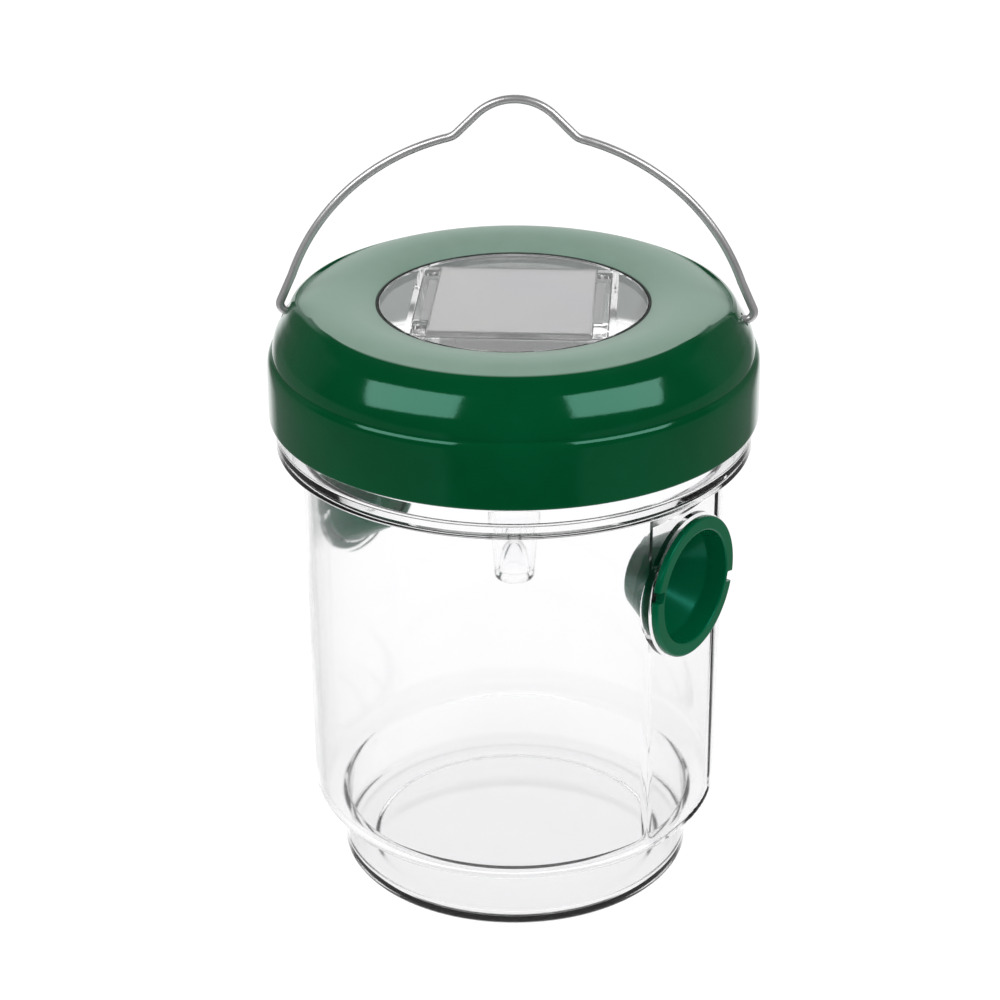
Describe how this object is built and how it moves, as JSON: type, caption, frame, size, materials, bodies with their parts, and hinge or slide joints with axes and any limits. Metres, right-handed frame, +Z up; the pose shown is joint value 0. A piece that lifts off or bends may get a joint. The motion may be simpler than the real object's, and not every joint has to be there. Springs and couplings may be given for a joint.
{
  "type": "wasp trap",
  "caption": "Hanging insect trap: clear jar with side entrance funnels, twist-off lid with solar lamp module and a hinged wire bail.",
  "frame": {"origin": "centre of the jar's foot, on the surface that it stands on", "axes": "+Z up along the jar's axis, +X along the two entrance funnels; the lid with its bail is turned 31.6 degrees from +X about +Z"},
  "size_m": [0.1252, 0.1252, 0.2097],
  "materials": {
    "clear_plastic": "clear moulded plastic",
    "green_plastic": "glossy moulded plastic",
    "seal_rubber": "matte rubber",
    "steel_wire": "bright drawn stainless wire",
    "plated_steel": "plated steel",
    "panel_face": "pale glossy panel face",
    "grey_plastic": "satin plastic",
    "board": "white coated board",
    "white_plastic": "satin plastic",
    "led_epoxy": "clear epoxy"
  },
  "bodies": {
    "jar": {"jar": "clear_plastic"},
    "gasket": {"lid_gasket": "seal_rubber"},
    "lid": {"lid": "green_plastic", "pod_cover": "clear_plastic", "pod_base": "clear_plastic", "window_seal": "seal_rubber", "solar_panel": "panel_face", "panel_clip_right": "grey_plastic", "panel_clip_left": "grey_plastic", "circuit_board": "board", "rechargeable_cell": "white_plastic", "cell_contact_positive": "plated_steel", "cell_contact_negative": "plated_steel", "led_lamp": "led_epoxy", "led_lead_positive": "plated_steel", "led_lead_negative": "plated_steel", "switch_body": "white_plastic", "pod_screw_1": "plated_steel", "pod_screw_2": "plated_steel", "pod_screw_3": "plated_steel", "pod_screw_4": "plated_steel", "lid_screw_1": "plated_steel", "lid_screw_2": "plated_steel", "lid_screw_3": "plated_steel", "lid_screw_4": "plated_steel"},
    "bail": {"bail_handle": "steel_wire"},
    "funnel_right": {"entrance_funnel_right": "green_plastic"},
    "funnel_left": {"entrance_funnel_left": "green_plastic"},
    "switch": {"switch_slider": "white_plastic"}
  },
  "joints": [
    {"name": "lid_lift", "type": "slide", "parent": "jar", "child": "gasket", "axis": [0, 0, 1], "range_m": [0, 0.08]},
    {"name": "lid_turn", "type": "hinge", "parent": "gasket", "child": "lid", "pos_m": [0, 0, 0.14], "axis": [0, 0, -1], "range_deg": [0, 40]},
    {"name": "bail_swing", "type": "hinge", "parent": "lid", "child": "bail", "pos_m": [0, 0, 0.1523], "axis": [0.8517, 0.524, 0], "range_deg": [-62, 62]},
    {"name": "funnel_right_pull", "type": "slide", "parent": "jar", "child": "funnel_right", "axis": [1, 0, 0], "range_m": [0, 0.02]},
    {"name": "funnel_left_pull", "type": "slide", "parent": "jar", "child": "funnel_left", "axis": [-1, 0, 0], "range_m": [0, 0.02]},
    {"name": "switch_slide", "type": "slide", "parent": "lid", "child": "switch", "axis": [0.8517, 0.524, 0], "range_m": [0, 0.0028]}
  ]
}
